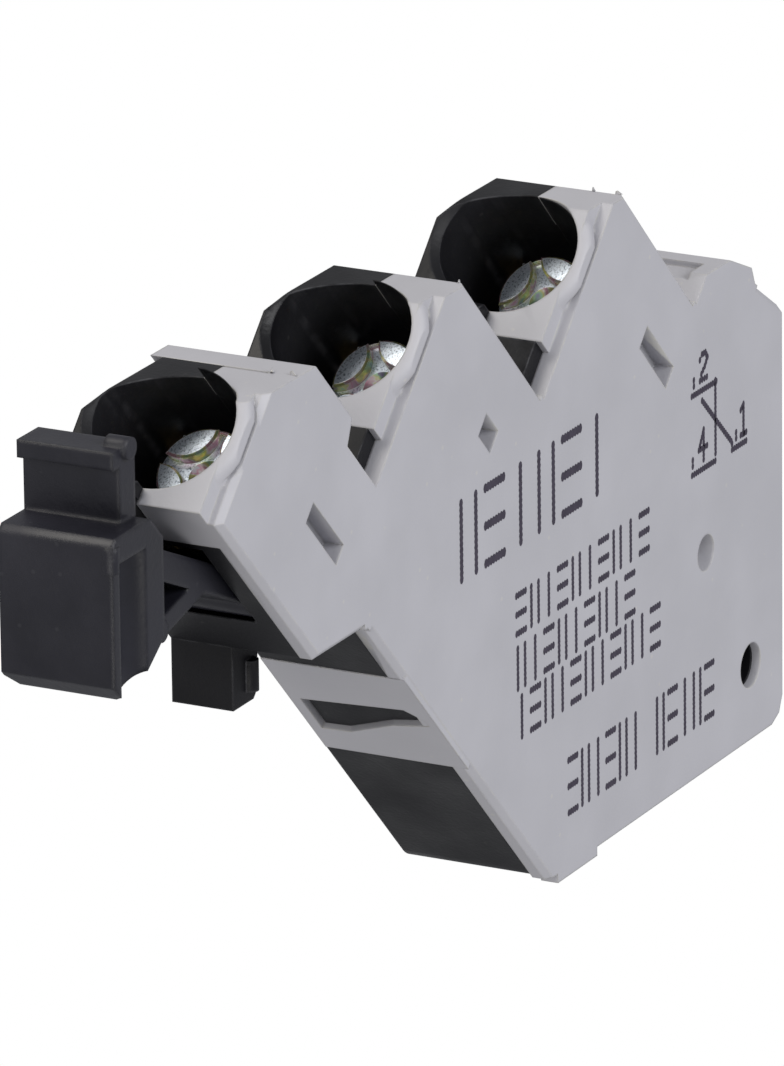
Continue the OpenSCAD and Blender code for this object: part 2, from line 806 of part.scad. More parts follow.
module make_strip() {
    color("#c09a4a") {
        strip_body(2, make_run);
        fixed_tab(make_tab_z);
    }
}

module break_contact() {
    color("#c9c9cc")
    translate([contact_x, fixed_y0 + blade_w / 2, break_tab_z]) cylinder(r = contact_r, h = contact_h);
}

module make_contact() {
    color("#c9c9cc")
    translate([contact_x, fixed_y0 + blade_w / 2, make_bottom]) cylinder(r = contact_r, h = contact_h);
}

// Pan head with a cross recess and a screwdriver slot, and a plain shank
module terminal_screw(n) {
    crown = 0.45;
    color("#c3c7cc")
    at_well(n)
        translate([0, 0, -clamp_depth])
            difference() {
                union() {
                    rotate_extrude()
                        polygon(concat(
                            [[0, 0], [head_r, 0], [head_r, head_h - crown - 0.3]],
                            [for (a = [0:15:90]) [head_r - 0.6 + 0.6 * cos(a), head_h - crown - 0.3 + 0.6 * sin(a)]],
                            [[0, head_h]]
                        ));
                    translate([0, 0, -shank_l + 0.3]) cylinder(r = shank_r, h = shank_l);
                    translate([0, 0, -shank_l]) cylinder(r1 = shank_r - 0.3, r2 = shank_r, h = 0.3, $fn = 24);
                }
                rotate([0, 0, 45])
                    translate([-head_r - eps, -0.45, head_h - 1]) cube([2 * head_r + 2 * eps, 0.9, 2]);
                for (a = [45, 135])
                    rotate([0, 0, a]) translate([-1.8, -0.6, head_h - 1.4]) cube([3.6, 1.2, 2]);
            }
}
module terminal_screw_1() { terminal_screw(0); }
module terminal_screw_2() { terminal_screw(1); }
module terminal_screw_3() { terminal_screw(2); }

// Square pressure plate with a hole, its two edges turned down
module clamp_plate(n) {
    color("#b9bdc2")
    at_well(n)
        translate([0, 0, -clamp_depth - clamp_t])
            difference() {
                translate([-clamp_w / 2, -clamp_w / 2, 0]) cube([clamp_w, clamp_w, clamp_t]);
                translate([0, 0, -eps]) cylinder(r = shank_r + fit, h = clamp_t + 2 * eps);
                translate([-clamp_w / 2 + 0.8, -clamp_w / 2 - eps, -eps])
                    cube([clamp_w - 1.6, clamp_w + 2 * eps, 0.2 + eps]);
            }
}
module clamp_plate_1() { clamp_plate(0); }
module clamp_plate_2() { clamp_plate(1); }
module clamp_plate_3() { clamp_plate(2); }

base();
cover();
lever();
lever_pin();
return_spring();
push_rod();
contact_blade();
blade_contact();
blade_spring();
common_strip();
break_strip();
make_strip();
break_contact();
make_contact();
terminal_screw_1();
terminal_screw_2();
terminal_screw_3();
clamp_plate_1();
clamp_plate_2();
clamp_plate_3();
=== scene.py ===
import bpy
import bmesh
import math
from mathutils import Matrix, Vector


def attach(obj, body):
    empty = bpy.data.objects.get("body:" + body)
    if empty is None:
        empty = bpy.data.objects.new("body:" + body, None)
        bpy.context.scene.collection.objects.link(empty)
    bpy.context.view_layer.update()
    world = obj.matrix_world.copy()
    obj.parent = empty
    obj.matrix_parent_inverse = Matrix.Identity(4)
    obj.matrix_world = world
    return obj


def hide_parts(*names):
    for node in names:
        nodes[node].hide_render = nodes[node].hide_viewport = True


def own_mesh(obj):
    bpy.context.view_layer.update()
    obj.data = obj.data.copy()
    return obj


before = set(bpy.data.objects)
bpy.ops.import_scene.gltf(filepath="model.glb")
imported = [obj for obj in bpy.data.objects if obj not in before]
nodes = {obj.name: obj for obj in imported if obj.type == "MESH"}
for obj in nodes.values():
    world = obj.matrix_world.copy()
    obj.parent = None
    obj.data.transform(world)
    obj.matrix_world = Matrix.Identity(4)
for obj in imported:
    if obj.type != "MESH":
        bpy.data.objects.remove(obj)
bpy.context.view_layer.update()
scene = bpy.context.scene
mm = 0.001
print("frame loaded")

# camera: a long lens from the lever end, a little above
cameraSet = {"lens": 405.25, "distance": 0.7282, "heading": 62.65, "height": 18.48, "roll": -0.70,
             "aim": (-0.0381, -0.005, 0.0294)}
heading, height, roll = (math.radians(cameraSet[k]) for k in ("heading", "height", "roll"))
back = Vector((-math.sin(heading) * math.cos(height), -math.cos(heading) * math.cos(height), math.sin(height)))
flatRight = Vector((math.cos(heading), -math.sin(heading), 0))
flatUp = Vector((math.sin(heading) * math.sin(height), math.cos(heading) * math.sin(height), math.cos(height)))
right = math.cos(roll) * flatRight + math.sin(roll) * flatUp
up = -math.sin(roll) * flatRight + math.cos(roll) * flatUp
cameraData = bpy.data.cameras.new("camera")
cameraData.lens = cameraSet["lens"]
cameraData.sensor_width = 36
cameraData.clip_start = 0.05
cameraData.clip_end = 5
camera = bpy.data.objects.new("camera", cameraData)
camera.matrix_world = Matrix.Translation(Vector(cameraSet["aim"]) + back * cameraSet["distance"]) @ \
    Matrix((right, up, back)).transposed().to_4x4()
scene.collection.objects.link(camera)
scene.camera = camera
scene.view_settings.view_transform = "Standard"

# soft studio light on a white backdrop
lightSet = {
    "key": {"from": (-0.1, -0.85, 0.45), "size": 0.5, "power": 6.6, "color": (0.98, 0.985, 1)},
    "left": {"from": (-0.85, 0.05, 0.35), "size": 0.4, "power": 1.7, "color": (1, 0.97, 0.9)},
    "top": {"from": (-0.3, 0.4, 0.8), "size": 0.42, "power": 3.4, "color": (1, 0.96, 0.88)},
    "low": {"from": (-0.8, -0.2, -0.35), "size": 0.5, "power": 2.2, "color": (1, 0.98, 0.94)},
}
for name, spec in lightSet.items():
    lamp = bpy.data.lights.new(name, "AREA")
    lamp.energy = spec["power"]
    lamp.size = spec["size"]
    lamp.color = spec["color"]
    holder = bpy.data.objects.new(name, lamp)
    holder.location = Vector(spec["from"])
    holder.rotation_mode = "QUATERNION"
    holder.rotation_quaternion = (Vector(spec["from"]) - Vector((-0.02, 0, 0.02))).to_track_quat("Z", "Y")
    scene.collection.objects.link(holder)

world = bpy.data.worlds.new("studio")
scene.world = world
world.use_nodes = True
tree = world.node_tree
tree.nodes.clear()
output = tree.nodes.new("ShaderNodeOutputWorld")
mix = tree.nodes.new("ShaderNodeMixShader")
path = tree.nodes.new("ShaderNodeLightPath")
fill = tree.nodes.new("ShaderNodeBackground")
fill.inputs["Color"].default_value = (0.95, 0.96, 1, 1)
fill.inputs["Strength"].default_value = 0.4
paper = tree.nodes.new("ShaderNodeBackground")
paper.inputs["Color"].default_value = (1, 1, 1, 1)
paper.inputs["Strength"].default_value = 1.0
tree.links.new(path.outputs["Is Camera Ray"], mix.inputs[0])
tree.links.new(fill.outputs[0], mix.inputs[1])
tree.links.new(paper.outputs[0], mix.inputs[2])
tree.links.new(mix.outputs[0], output.inputs["Surface"])
print("camera and light set")

# shared look of moulded plastic: fine grain, faint clouding and specks
def makeMouldingGroup():
    group = bpy.data.node_groups.new("moulding", "ShaderNodeTree")
    face = group.interface
    face.new_socket(name="Colour", in_out="INPUT", socket_type="NodeSocketColor")
    face.new_socket(name="Speck Colour", in_out="INPUT", socket_type="NodeSocketColor")
    face.new_socket(name="Speck Amount", in_out="INPUT", socket_type="NodeSocketFloat")
    face.new_socket(name="Cloud Amount", in_out="INPUT", socket_type="NodeSocketFloat")
    face.new_socket(name="Roughness", in_out="INPUT", socket_type="NodeSocketFloat")
    face.new_socket(name="Grain Scale", in_out="INPUT", socket_type="NodeSocketFloat")
    face.new_socket(name="Colour", in_out="OUTPUT", socket_type="NodeSocketColor")
    face.new_socket(name="Roughness", in_out="OUTPUT", socket_type="NodeSocketFloat")
    face.new_socket(name="Height", in_out="OUTPUT", socket_type="NodeSocketFloat")
    add, link = group.nodes.new, group.links.new
    given, made = add("NodeGroupInput"), add("NodeGroupOutput")
    place = add("ShaderNodeTexCoord")
    grain = add("ShaderNodeTexNoise")
    grain.inputs["Detail"].default_value = 3
    link(place.outputs["Object"], grain.inputs["Vector"])
    link(given.outputs["Grain Scale"], grain.inputs["Scale"])
    cloud = add("ShaderNodeTexNoise")
    cloud.inputs["Scale"].default_value = 160
    cloud.inputs["Detail"].default_value = 4
    link(place.outputs["Object"], cloud.inputs["Vector"])
    specks = add("ShaderNodeTexVoronoi")
    specks.inputs["Scale"].default_value = 900
    link(place.outputs["Object"], specks.inputs["Vector"])
    speckMask = add("ShaderNodeMapRange")
    speckMask.inputs["From Min"].default_value = 0.16
    speckMask.inputs["From Max"].default_value = 0.08
    link(specks.outputs["Distance"], speckMask.inputs["Value"])
    speckPick = add("ShaderNodeMath")
    speckPick.operation = "GREATER_THAN"
    speckPick.inputs[1].default_value = 0.86
    split = add("ShaderNodeSeparateColor")
    link(specks.outputs["Color"], split.inputs["Color"])
    link(split.outputs["Red"], speckPick.inputs[0])
    chosen = add("ShaderNodeMath")
    chosen.operation = "MULTIPLY"
    link(speckMask.outputs["Result"], chosen.inputs[0])
    link(speckPick.outputs[0], chosen.inputs[1])
    amount = add("ShaderNodeMath")
    amount.operation = "MULTIPLY"
    link(chosen.outputs[0], amount.inputs[0])
    link(given.outputs["Speck Amount"], amount.inputs[1])
    cloudRange = add("ShaderNodeMapRange")
    cloudRange.inputs["From Min"].default_value = 0.3
    cloudRange.inputs["From Max"].default_value = 0.7
    cloudRange.inputs["To Min"].default_value = -1
    cloudRange.inputs["To Max"].default_value = 1
    link(cloud.outputs["Fac"], cloudRange.inputs["Value"])
    cloudStep = add("ShaderNodeMath")
    cloudStep.operation = "MULTIPLY_ADD"
    cloudStep.inputs[2].default_value = 1
    link(cloudRange.outputs["Result"], cloudStep.inputs[0])
    link(given.outputs["Cloud Amount"], cloudStep.inputs[1])
    clouded = add("ShaderNodeVectorMath")
    clouded.operation = "SCALE"
    link(given.outputs["Colour"], clouded.inputs[0])
    link(cloudStep.outputs[0], clouded.inputs["Scale"])
    colour = add("ShaderNodeMix")
    colour.data_type = "RGBA"
    link(amount.outputs[0], colour.inputs["Factor"])
    link(clouded.outputs[0], colour.inputs[6])
    link(given.outputs["Speck Colour"], colour.inputs[7])
    link(colour.outputs[2], made.inputs["Colour"])
    rough = add("ShaderNodeMath")
    rough.operation = "MULTIPLY_ADD"
    rough.inputs[1].default_value = 0.12
    link(cloudRange.outputs["Result"], rough.inputs[0])
    link(given.outputs["Roughness"], rough.inputs[2])
    link(rough.outputs[0], made.inputs["Roughness"])
    link(grain.outputs["Fac"], made.inputs["Height"])
    return group

mouldingGroup = makeMouldingGroup()

# shared edge wear and painted edge highlight: rounds the shading at edges, and paints them a lighter second colour that
# stands partly for wear and partly for light caught on the rounded edges
def makeEdgeWearHighlightGroup():
    group = bpy.data.node_groups.new("edgeWearAndHighlight", "ShaderNodeTree")
    face = group.interface
    for socket, kind in (("Colour", "NodeSocketColor"), ("Edge Wear Highlight Colour", "NodeSocketColor"),
                         ("Edge Wear Highlight Amount", "NodeSocketFloat"), ("Radius", "NodeSocketFloat"),
                         ("Scuff Highlight Colour", "NodeSocketColor"), ("Scuff Highlight Amount", "NodeSocketFloat")):
        face.new_socket(name=socket, in_out="INPUT", socket_type=kind)
    face.new_socket(name="Colour", in_out="OUTPUT", socket_type="NodeSocketColor")
    face.new_socket(name="Normal", in_out="OUTPUT", socket_type="NodeSocketVector")
    add, link = group.nodes.new, group.links.new
    given, made = add("NodeGroupInput"), add("NodeGroupOutput")
    place, geometry = add("ShaderNodeTexCoord"), add("ShaderNodeNewGeometry")
    rounded = add("ShaderNodeBevel")
    rounded.samples = 6
    link(given.outputs["Radius"], rounded.inputs["Radius"])
    facing = add("ShaderNodeVectorMath")
    facing.operation = "DOT_PRODUCT"
    link(rounded.outputs["Normal"], facing.inputs[0])
    link(geometry.outputs["True Normal"], facing.inputs[1])
    # edge mask: where the rounded normal bends away from the face the colour is painted lighter, partly wear and partly
    # painted highlight
    edge = add("ShaderNodeMapRange")
    edge.inputs["From Min"].default_value = 0.99
    edge.inputs["From Max"].default_value = 0.86
    link(facing.outputs["Value"], edge.inputs["Value"])
    rub = add("ShaderNodeTexNoise")
    rub.inputs["Scale"].default_value = 900
    rub.inputs["Detail"].default_value = 5
    link(place.outputs["Object"], rub.inputs["Vector"])
    rubbed = add("ShaderNodeMapRange")
    rubbed.inputs["From Min"].default_value = 0.35
    rubbed.inputs["From Max"].default_value = 0.6
    link(rub.outputs["Fac"], rubbed.inputs["Value"])
    wornLitEdge, amount = add("ShaderNodeMath"), add("ShaderNodeMath")
    wornLitEdge.operation = amount.operation = "MULTIPLY"
    link(edge.outputs["Result"], wornLitEdge.inputs[0])
    link(rubbed.outputs["Result"], wornLitEdge.inputs[1])
    link(wornLitEdge.outputs[0], amount.inputs[0])
    link(given.outputs["Edge Wear Highlight Amount"], amount.inputs[1])
    first = add("ShaderNodeMix")
    first.data_type = "RGBA"
    link(amount.outputs[0], first.inputs["Factor"])
    link(given.outputs["Colour"], first.inputs[6])
    link(given.outputs["Edge Wear Highlight Colour"], first.inputs[7])
    # scuffs and painted highlight lie on the collars' high faces that lean forward and to the back: the lighter colour
    # there stands partly for scuffing and partly for light falling on those faces
    split, tilt = add("ShaderNodeSeparateXYZ"), add("ShaderNodeSeparateXYZ")
    link(place.outputs["Object"], split.inputs[0])
    link(geometry.outputs["True Normal"], tilt.inputs[0])
    high = add("ShaderNodeMapRange")
    high.inputs["From Min"].default_value = 0.0335
    high.inputs["From Max"].default_value = 0.0345
    link(split.outputs["Z"], high.inputs["Value"])
    lean = add("ShaderNodeMapRange")
    lean.inputs["From Min"].default_value = 0.12
    lean.inputs["From Max"].default_value = 0.3
    link(tilt.outputs["Y"], lean.inputs["Value"])
    forward, rear = add("ShaderNodeMapRange"), add("ShaderNodeMapRange")
    forward.inputs["From Min"].default_value = -0.25
    forward.inputs["From Max"].default_value = -0.4
    link(tilt.outputs["X"], forward.inputs["Value"])
    rear.inputs["From Min"].default_value = 0.0004
    rear.inputs["From Max"].default_value = 0.0012
    link(split.outputs["Y"], rear.inputs["Value"])
    streak = add("ShaderNodeTexNoise")
    streak.inputs["Scale"].default_value = 2600
    streak.inputs["Detail"].default_value = 6
    link(place.outputs["Object"], streak.inputs["Vector"])
    streaks = add("ShaderNodeMapRange")
    streaks.inputs["From Min"].default_value = 0.42
    streaks.inputs["From Max"].default_value = 0.62
    link(streak.outputs["Fac"], streaks.inputs["Value"])
    both, side, band, patch, scuffHighlight = (add("ShaderNodeMath") for _ in range(5))
    for step in (both, side, band, patch, scuffHighlight):
        step.operation = "MULTIPLY"
    link(high.outputs["Result"], both.inputs[0])
    link(lean.outputs["Result"], both.inputs[1])
    link(both.outputs[0], side.inputs[0])
    link(rear.outputs["Result"], side.inputs[1])
    link(side.outputs[0], band.inputs[0])
    link(forward.outputs["Result"], band.inputs[1])
    link(band.outputs[0], patch.inputs[0])
    link(streaks.outputs["Result"], patch.inputs[1])
    link(patch.outputs[0], scuffHighlight.inputs[0])
    link(given.outputs["Scuff Highlight Amount"], scuffHighlight.inputs[1])
    second = add("ShaderNodeMix")
    second.data_type = "RGBA"
    link(scuffHighlight.outputs[0], second.inputs["Factor"])
    link(first.outputs[2], second.inputs[6])
    link(given.outputs["Scuff Highlight Colour"], second.inputs[7])
    link(second.outputs[2], made.inputs["Colour"])
    link(rounded.outputs["Normal"], made.inputs["Normal"])
    return group

edgeWearHighlightGroup = makeEdgeWearHighlightGroup()

# each plastic's edge colour is lighter than the plastic itself: partly wear, partly painted highlight along the edges
plasticSet = {
    "coverGrey": {"Colour": (0.415, 0.412, 0.44, 1), "Speck Colour": (0.55, 0.53, 0.46, 1), "Speck Amount": 0.3,
                  "Cloud Amount": 0.035, "Roughness": 0.5, "Grain Scale": 4200, "bump": 0.12, "specular": 0.4,
                  "Edge Wear Highlight Colour": (0.55, 0.535, 0.47, 1), "Edge Wear Highlight Amount": 0.55, "Radius": 0.00022,
                  "Scuff Highlight Colour": (0.4, 0.4, 0.4, 1), "Scuff Highlight Amount": 0},
    # the base's scuff colour is a light grey: partly scuffing, partly painted highlight on the collars' lit faces
    "baseBlack": {"Colour": (0.0065, 0.0065, 0.008, 1), "Speck Colour": (0.12, 0.115, 0.11, 1), "Speck Amount": 0.12,
                  "Cloud Amount": 0.25, "Roughness": 0.46, "Grain Scale": 3500, "bump": 0.16, "specular": 0.22,
                  "Edge Wear Highlight Colour": (0.12, 0.12, 0.13, 1), "Edge Wear Highlight Amount": 0.45, "Radius": 0.0002,
                  "Scuff Highlight Colour": (0.34, 0.34, 0.38, 1), "Scuff Highlight Amount": 0.75},
    "leverBlack": {"Colour": (0.0125, 0.0125, 0.0185, 1), "Speck Colour": (0.12, 0.12, 0.13, 1), "Speck Amount": 0.08,
                   "Cloud Amount": 0.25, "Roughness": 0.4, "Grain Scale": 3000, "bump": 0.14, "specular": 0.4,
                   "Edge Wear Highlight Colour": (0.05, 0.05, 0.055, 1), "Edge Wear Highlight Amount": 0.3, "Radius": 0.0004,
                   "Scuff Highlight Colour": (0.1, 0.1, 0.1, 1), "Scuff Highlight Amount": 0},
    "rodNatural": {"Colour": (0.62, 0.57, 0.45, 1), "Speck Colour": (0.4, 0.36, 0.3, 1), "Speck Amount": 0.3,
                   "Cloud Amount": 0.05, "Roughness": 0.42, "Grain Scale": 3500, "bump": 0.05, "specular": 0.5,
                   "Edge Wear Highlight Colour": (0.7, 0.66, 0.55, 1), "Edge Wear Highlight Amount": 0.2, "Radius": 0.0001,
                   "Scuff Highlight Colour": (0.4, 0.4, 0.4, 1), "Scuff Highlight Amount": 0},
}
def makePlastic(name):
    spec = plasticSet[name]
    material = bpy.data.materials.new(name)
    material.use_nodes = True
    add, link = material.node_tree.nodes.new, material.node_tree.links.new
    surface = material.node_tree.nodes["Principled BSDF"]
    look, edges = add("ShaderNodeGroup"), add("ShaderNodeGroup")
    look.node_tree, edges.node_tree = mouldingGroup, edgeWearHighlightGroup
    for socket in ("Colour", "Speck Colour", "Speck Amount", "Cloud Amount", "Roughness", "Grain Scale"):
        look.inputs[socket].default_value = spec[socket]
    for socket in ("Edge Wear Highlight Colour", "Edge Wear Highlight Amount", "Radius", "Scuff Highlight Colour", "Scuff Highlight Amount"):
        edges.inputs[socket].default_value = spec[socket]
    bump = add("ShaderNodeBump")
    bump.inputs["Strength"].default_value = spec["bump"]
    bump.inputs["Distance"].default_value = 0.0001
    surface.inputs["Specular IOR Level"].default_value = spec["specular"]
    link(look.outputs["Colour"], edges.inputs["Colour"])
    link(edges.outputs["Colour"], surface.inputs["Base Color"])
    link(look.outputs["Roughness"], surface.inputs["Roughness"])
    link(look.outputs["Height"], bump.inputs["Height"])
    link(edges.outputs["Normal"], bump.inputs["Normal"])
    link(bump.outputs["Normal"], surface.inputs["Normal"])
    return material

metalSet = {
    "pinSteel": {"colour": (0.5, 0.51, 0.53, 1), "tint": (0.4, 0.4, 0.4, 1), "roughness": 0.3},
    "springSteel": {"colour": (0.45, 0.46, 0.48, 1), "tint": (0.35, 0.35, 0.36, 1), "roughness": 0.35},
    "brassStrip": {"colour": (0.7, 0.52, 0.22, 1), "tint": (0.5, 0.36, 0.16, 1), "roughness": 0.32},
    "springBronze": {"colour": (0.62, 0.38, 0.16, 1), "tint": (0.45, 0.26, 0.12, 1), "roughness": 0.3},
    "silverContact": {"colour": (0.75, 0.75, 0.74, 1), "tint": (0.5, 0.48, 0.44, 1), "roughness": 0.3},
}
def makeMetal(name):
    spec = metalSet[name]
    material = bpy.data.materials.new(name)
    material.use_nodes = True
    add, link = material.node_tree.nodes.new, material.node_tree.links.new
    surface = material.node_tree.nodes["Principled BSDF"]
    place = add("ShaderNodeTexCoord")
    stain = add("ShaderNodeTexNoise")
    stain.inputs["Scale"].default_value = 500
    stain.inputs["Detail"].default_value = 5
    colour = add("ShaderNodeMix")
    colour.data_type = "RGBA"
    colour.inputs[6].default_value = spec["colour"]
    colour.inputs[7].default_value = spec["tint"]
    patch = add("ShaderNodeMapRange")
    patch.inputs["From Min"].default_value = 0.45
    patch.inputs["From Max"].default_value = 0.7
    rough = add("ShaderNodeMapRange")
    rough.inputs["To Min"].default_value = spec["roughness"] - 0.06
    rough.inputs["To Max"].default_value = spec["roughness"] + 0.12
    bump = add("ShaderNodeBump")
    bump.inputs["Strength"].default_value = 0.1
    bump.inputs["Distance"].default_value = 0.00005
    surface.inputs["Metallic"].default_value = 1
    link(place.outputs["Object"], stain.inputs["Vector"])
    link(stain.outputs["Fac"], patch.inputs["Value"])
    link(patch.outputs["Result"], colour.inputs["Factor"])
    link(colour.outputs[2], surface.inputs["Base Color"])
    link(stain.outputs["Fac"], rough.inputs["Value"])
    link(rough.outputs["Result"], surface.inputs["Roughness"])
    link(stain.outputs["Fac"], bump.inputs["Height"])
    link(bump.outputs["Normal"], surface.inputs["Normal"])
    return material

# zinc plate: speckled bluish faces across the screws' axis, rainbow film on all that leans, and a painted white
# highlight along every edge
zincSet = {"axis": (-0.7071, 0, 0.7071), "face": (0.66, 0.72, 0.8, 1), "speck": (0.2, 0.24, 0.3, 1),
           "edge": (1, 1, 1, 1), "edgeRadius": 0.06 * mm, "filmMetal": 0.7, "faceMetal": 0.92, "edgeDrop": 0.65,
           "film": [(0.3, (0.8, 0.84, 0.88, 1)), (0.4, (0.9, 0.45, 0.58, 1)), (0.48, (0.95, 0.92, 0.88, 1)),
                    (0.55, (0.85, 0.8, 0.3, 1)), (0.62, (0.5, 0.78, 0.5, 1)), (0.7, (0.42, 0.32, 0.62, 1))]}
def makeZinc():
    material = bpy.data.materials.new("zincSteel")
    material.use_nodes = True
    add, link = material.node_tree.nodes.new, material.node_tree.links.new
    surface = material.node_tree.nodes["Principled BSDF"]
    place, geometry = add("ShaderNodeTexCoord"), add("ShaderNodeNewGeometry")
    facing = add("ShaderNodeVectorMath")
    facing.operation = "DOT_PRODUCT"
    facing.inputs[1].default_value = zincSet["axis"]
    across = add("ShaderNodeMapRange")
    across.inputs["From Min"].default_value = 0.96
    across.inputs["From Max"].default_value = 0.985
    film, grain, bands = add("ShaderNodeTexNoise"), add("ShaderNodeTexNoise"), add("ShaderNodeValToRGB")
    film.inputs["Scale"].default_value = 650
    film.inputs["Detail"].default_value = 2
    film.inputs["Distortion"].default_value = 1.2
    grain.inputs["Scale"].default_value = 8500
    grain.inputs["Detail"].default_value = 4
    stops = bands.color_ramp.elements
    while len(stops) < len(zincSet["film"]):
        stops.new(0.5)
    for stop, (position, colour) in zip(stops, zincSet["film"]):
        stop.position = position
        stop.color = colour
    speckle = add("ShaderNodeMapRange")
    speckle.inputs["From Min"].default_value = 0.5
    speckle.inputs["From Max"].default_value = 0.66
    face, colour = add("ShaderNodeMix"), add("ShaderNodeMix")
    face.data_type = colour.data_type = "RGBA"
    face.inputs[6].default_value = zincSet["face"]
    face.inputs[7].default_value = zincSet["speck"]
    rough = add("ShaderNodeMapRange")
    rough.inputs["To Min"].default_value = 0.16
    rough.inputs["To Max"].default_value = 0.34
    bump = add("ShaderNodeBump")
    bump.inputs["Strength"].default_value = 0.25
    bump.inputs["Distance"].default_value = 0.00005
    plated, sheen = add("ShaderNodeMapRange"), add("ShaderNodeMath")
    plated.inputs["To Min"].default_value = zincSet["filmMetal"]
    plated.inputs["To Max"].default_value = zincSet["faceMetal"]
    sheen.operation = "MULTIPLY_ADD"
    sheen.inputs[1].default_value = -zincSet["edgeDrop"]
    sheen.use_clamp = True
    link(geometry.outputs["Normal"], facing.inputs[0])
    link(facing.outputs["Value"], across.inputs["Value"])
    link(place.outputs["Object"], film.inputs["Vector"])
    link(place.outputs["Object"], grain.inputs["Vector"])
    link(film.outputs["Fac"], bands.inputs["Fac"])
    link(grain.outputs["Fac"], speckle.inputs["Value"])
    link(speckle.outputs["Result"], face.inputs["Factor"])
    link(across.outputs["Result"], colour.inputs["Factor"])
    link(bands.outputs["Color"], colour.inputs[6])
    link(face.outputs[2], colour.inputs[7])
    # painted highlight: edges found by the rounded normal turn white and lose metallic, so they shine like lit edges
    rounded, corner, highlightMask = add("ShaderNodeBevel"), add("ShaderNodeVectorMath"), add("ShaderNodeMapRange")
    rounded.inputs["Radius"].default_value = zincSet["edgeRadius"]
    corner.operation = "DOT_PRODUCT"
    highlightMask.inputs["From Min"].default_value = 0.97
    highlightMask.inputs["From Max"].default_value = 0.88
    paintedHighlight = add("ShaderNodeMix")
    paintedHighlight.data_type = "RGBA"
    paintedHighlight.inputs[7].default_value = zincSet["edge"]
    link(rounded.outputs["Normal"], corner.inputs[0])
    link(geometry.outputs["True Normal"], corner.inputs[1])
    link(corner.outputs["Value"], highlightMask.inputs["Value"])
    link(highlightMask.outputs["Result"], paintedHighlight.inputs["Factor"])
    link(across.outputs["Result"], plated.inputs["Value"])
    link(highlightMask.outputs["Result"], sheen.inputs[0])
    link(plated.outputs["Result"], sheen.inputs[2])
    link(sheen.outputs[0], surface.inputs["Metallic"])
    link(colour.outputs[2], paintedHighlight.inputs[6])
    link(paintedHighlight.outputs[2], surface.inputs["Base Color"])
    link(rounded.outputs["Normal"], bump.inputs["Normal"])
    link(across.outputs["Result"], rough.inputs["Value"])
    link(rough.outputs["Result"], surface.inputs["Roughness"])
    link(grain.outputs["Fac"], bump.inputs["Height"])
    link(bump.outputs["Normal"], surface.inputs["Normal"])
    return material

plastics = {name: makePlastic(name) for name in plasticSet}
metals = {name: makeMetal(name) for name in metalSet}
zinc = makeZinc()
nodeLook = {
    "base": plastics["baseBlack"], "cover": plastics["coverGrey"], "lever": plastics["leverBlack"],
    "lever_pin": metals["pinSteel"], "return_spring": metals["springSteel"], "push_rod": plastics["rodNatural"],
    "contact_blade": metals["springBronze"], "blade_contact": metals["silverContact"],
    "blade_spring": metals["springSteel"], "common_strip": metals["brassStrip"],
    "break_strip": metals["brassStrip"], "make_strip": metals["brassStrip"],
    "break_contact": metals["silverContact"], "make_contact": metals["silverContact"],
}
for name, node in nodes.items():
    look = nodeLook.get(name, zinc)
    node.data.materials.clear()
    node.data.materials.append(look)
print("looks made")

# real rounding on the mouldings' edges
roundSet = {"cover": {"width": 0.13 * mm, "angle": 28}, "base": {"width": 0.12 * mm, "angle": 28},
            "lever": {"width": 0.35 * mm, "angle": 28}}
for name, spec in roundSet.items():
    weld = nodes[name].modifiers.new("weld", "WELD")
    weld.merge_threshold = 0.002 * mm
    soften = nodes[name].modifiers.new("round", "BEVEL")
    soften.width = spec["width"]
    soften.segments = 2
    soften.limit_method = "ANGLE"
    soften.angle_limit = math.radians(spec["angle"])
    soften.use_clamp_overlap = True
print("edges rounded")

# pan-head terminal screws: a dished head, four lens-shaped pads, a cross recess and an open slot
screwSet = {"headRadius": 3.05 * mm, "headHeight": 1.9 * mm, "shankRadius": 1.45 * mm, "shankLength": 4.8 * mm,
            "rimWidth": 0.3 * mm, "padRadius": 2.05 * mm, "padCentre": 3.3 * mm, "slotHalfAngle": 13,
            "turns": {1: 35, 2: 68, 3: 72}}
def makeMesh(name, bm, material, body, smooth=False):
    bmesh.ops.recalc_face_normals(bm, faces=bm.faces)
    mesh = bpy.data.meshes.new(name)
    bm.to_mesh(mesh)
    bm.free()
    mesh.materials.append(material)
    for face in mesh.polygons:
        face.use_smooth = smooth
    piece = bpy.data.objects.new(name, mesh)
    scene.collection.objects.link(piece)
    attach(piece, body)
    return piece

def spinProfile(bm, profile, start, sweep, steps):
    # profile is (radius, height) pairs; a full turn is merged into a ring
    made = [bm.verts.new((radius * math.cos(start), radius * math.sin(start), z)) for radius, z in profile]
    edges = [bm.edges.new(pair) for pair in zip(made, made[1:])]
    full = abs(sweep - math.tau) < 1e-6
    bmesh.ops.spin(bm, geom=made + edges, cent=(0, 0, 0), axis=(0, 0, 1), angle=sweep, steps=steps, use_merge=full)

def padOutline(centre, padRadius, headRadius):
    # the inner arc belongs to the pad's own circle, the outer arc to the head's
    corner = math.acos((headRadius ** 2 + centre ** 2 - padRadius ** 2) / (2 * headRadius * centre))
    spread = math.acos((centre ** 2 + padRadius ** 2 - headRadius ** 2) / (2 * centre * padRadius))
    outer = [(headRadius * math.cos(a), headRadius * math.sin(a)) for a in
             [-corner + 2 * corner * i / 8 for i in range(9)]]
    sweep = 2 * (spread)
    inner = [(centre + padRadius * math.cos(math.pi - spread + a), padRadius * math.sin(math.pi - spread + a)) for a in
             [sweep * i / 14 for i in range(1, 14)]]
    return outer + inner

